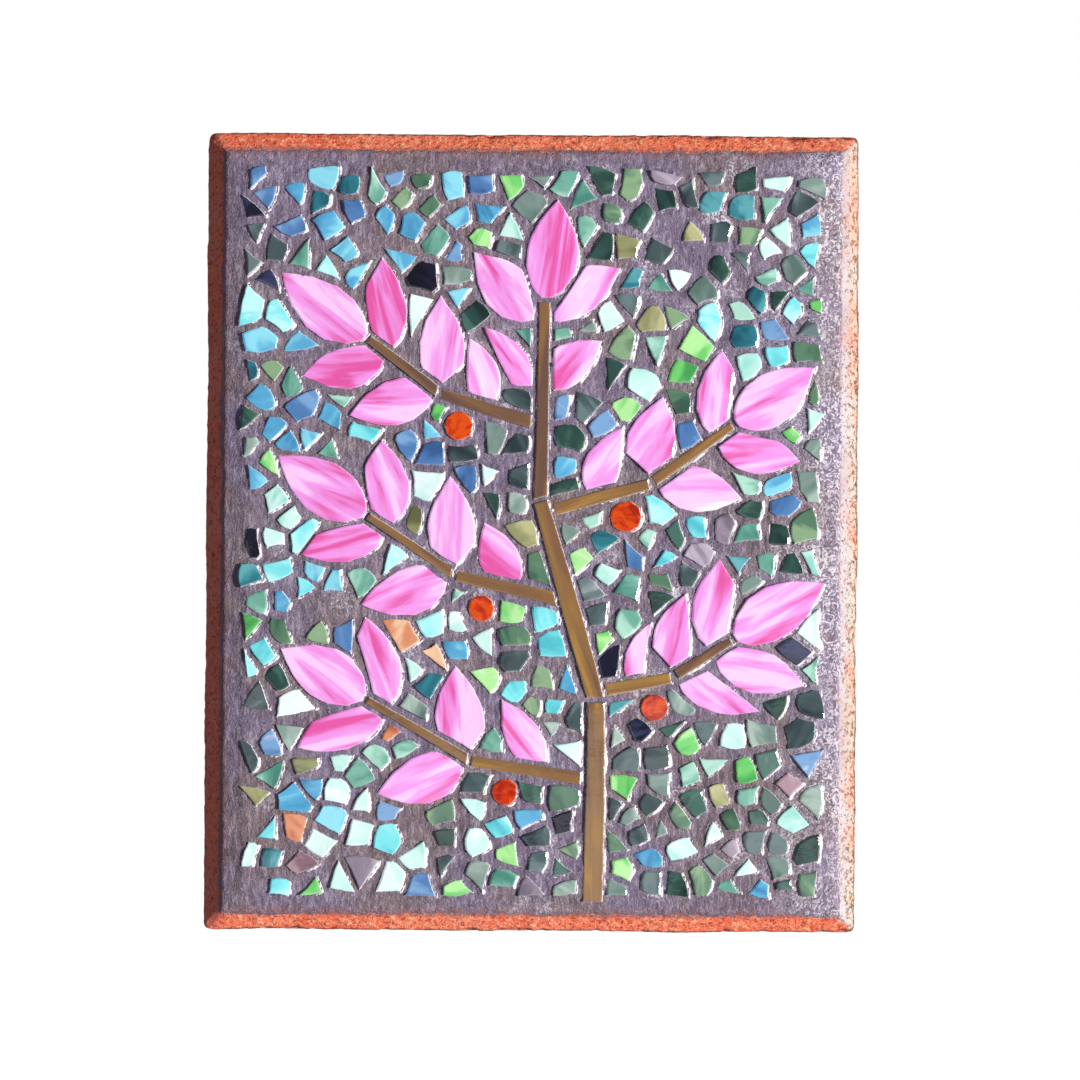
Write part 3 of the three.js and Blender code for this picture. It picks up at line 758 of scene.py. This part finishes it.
def grout():
    """A closed skin of grout, whose rim turns in under it and a little way into the slab."""
    half_x = face_x + GROUT_OVERLAP
    half_z = face_z + GROUT_OVERLAP
    bm = bmesh.new()
    bmesh.ops.create_grid(bm, x_segments=round(2 * half_x / GROUT_STEP),
                          y_segments=round(2 * half_z / GROUT_STEP), size=1)
    bmesh.ops.rotate(bm, matrix=Matrix.Rotation(math.pi / 2, 3, "X"), verts=bm.verts)
    bmesh.ops.scale(bm, vec=(half_x, 1, half_z), verts=bm.verts)
    crust_and_highlight = bm.verts.layers.float.new("crust_and_highlight")
    scum_and_glare = bm.verts.layers.float.new("scum_and_glare")
    dust = bm.verts.layers.float.new("dust")
    places = np.array([tuple(v.co) for v in bm.verts])
    gaps, lit_sides = distance_to_glass(places[:, 0], places[:, 2])
    for v, gap, lit_side in zip(bm.verts, gaps, lit_sides):
        here = Vector((v.co.x, 0, v.co.z))
        border = within_border(here)
        broken = 1 + 0.9 * rough(here, 7 * MM, 2)
        # Crust and painted highlight, only on the side of the glass towards the key light.
        v[crust_and_highlight] = lit_side ** 0.7 * broken * clipped(1.3 - max(0.0, gap) / CRUST_HIGHLIGHT_WIDTH)
        v[scum_and_glare] = scum_and_glare_share(here)
        v[dust] = clipped(1 - border / DUST_WIDTH) * (1 - v[scum_and_glare])
        v.co.y = slab_surface(here) - grout_height(here, border, gap, lit_side)
    edges = [e for e in bm.edges if e.is_boundary]
    skirt = bmesh.ops.extrude_edge_only(bm, edges=edges)["geom"]
    let_in = 0.3 * MM
    for v in (g for g in skirt if isinstance(g, bmesh.types.BMVert)):
        v.co = Vector((v.co.x * face_x / half_x, face_y + let_in, v.co.z * face_z / half_z))
    bmesh.ops.holes_fill(bm, edges=[e for e in bm.edges if e.is_boundary], sides=0)
    piece = new_piece("grout", bm, sandy_grout(), "grout", "grout_bed")
    piece.data.shade_smooth()


grout()

# The setting: a pale floor well below the hung panel, which glows a little so that it is as white
# as the surround, a small soft key lamp at the right, a dim fill, and a camera straight in front.
FLOOR_DROP = 0.35
FLOOR_HALF = 5.0


def floor():
    """A pale floor that throws no light back on the panel."""
    bm = bmesh.new()
    bmesh.ops.create_grid(bm, x_segments=1, y_segments=1, size=FLOOR_HALF)
    bmesh.ops.translate(bm, vec=(0, 0, slab_low.z - FLOOR_DROP), verts=bm.verts)
    mesh = bpy.data.meshes.new("floor")
    bm.to_mesh(mesh)
    bm.free()
    finish = Finish("pale_floor", {"Roughness": 0.8, "Base Color": (0.85, 0.85, 0.85, 1),
                                   "Emission Color": (1, 1, 1, 1), "Emission Strength": 0.9})
    mesh.materials.append(finish.material)
    plane = bpy.data.objects.new("floor", mesh)
    plane.visible_diffuse = False
    bpy.context.scene.collection.objects.link(plane)


def surround():
    """White where the camera sees it, and dimmer as light, so that shade stays dark."""
    world = bpy.data.worlds.new("surround")
    bpy.context.scene.world = world
    world.use_nodes = True
    seen = world.node_tree.nodes["Background"]
    seen.inputs["Color"].default_value = (1, 1, 1, 1)
    nodes = Nodes(world.node_tree)
    fill = nodes.node("ShaderNodeBackground", {}, {"Color": (0.8, 0.78, 1.0, 1), "Strength": 0.2})
    to_camera = nodes.node("ShaderNodeLightPath", {}, {}, "Is Camera Ray")
    either = {0: to_camera, 1: fill, 2: Wire(nodes, seen.outputs["Background"])}
    shown = nodes.node("ShaderNodeMixShader", {}, either)
    nodes.join(shown, world.node_tree.nodes["World Output"].inputs["Surface"])


def key_light():
    """A small warm disk far off to the right, which leaves the bevel on the left in shade."""
    place = Vector((3.83, -3.21, -0.3))
    light = bpy.data.lights.new("key_light", "AREA")
    light.energy = 384
    light.shape = "DISK"
    light.size = 0.36
    light.color = (1.0, 0.97, 0.94)
    holder = bpy.data.objects.new("key_light", light)
    holder.location = place
    holder.rotation_euler = (-place).to_track_quat("-Z", "Y").to_euler()
    bpy.context.scene.collection.objects.link(holder)


def camera():
    """Straight in front, with the panel as large and in the same place as in the photograph.

    The photograph was taken a third of a degree off level, so the camera leans as much.
    """
    frame_pixels = 1080
    panel_pixels = 652
    middle_x, middle_y = 531.5, 533.0
    lean = math.radians(-0.35)
    pixel = 2 * slab_high.x / panel_pixels
    lens = bpy.data.cameras.new("camera")
    lens.lens = 100
    lens.sensor_width = 36
    distance = frame_pixels * pixel * lens.lens / lens.sensor_width
    eye = bpy.data.objects.new("camera", lens)
    eye.location = ((frame_pixels / 2 - middle_x) * pixel, bevel_foot_y - distance,
                    (middle_y - frame_pixels / 2) * pixel)
    eye.rotation_euler = (math.pi / 2, lean, 0)
    bpy.context.scene.collection.objects.link(eye)
    bpy.context.scene.camera = eye


floor()
surround()
key_light()
camera()
bpy.context.scene.view_settings.view_transform = "Standard"
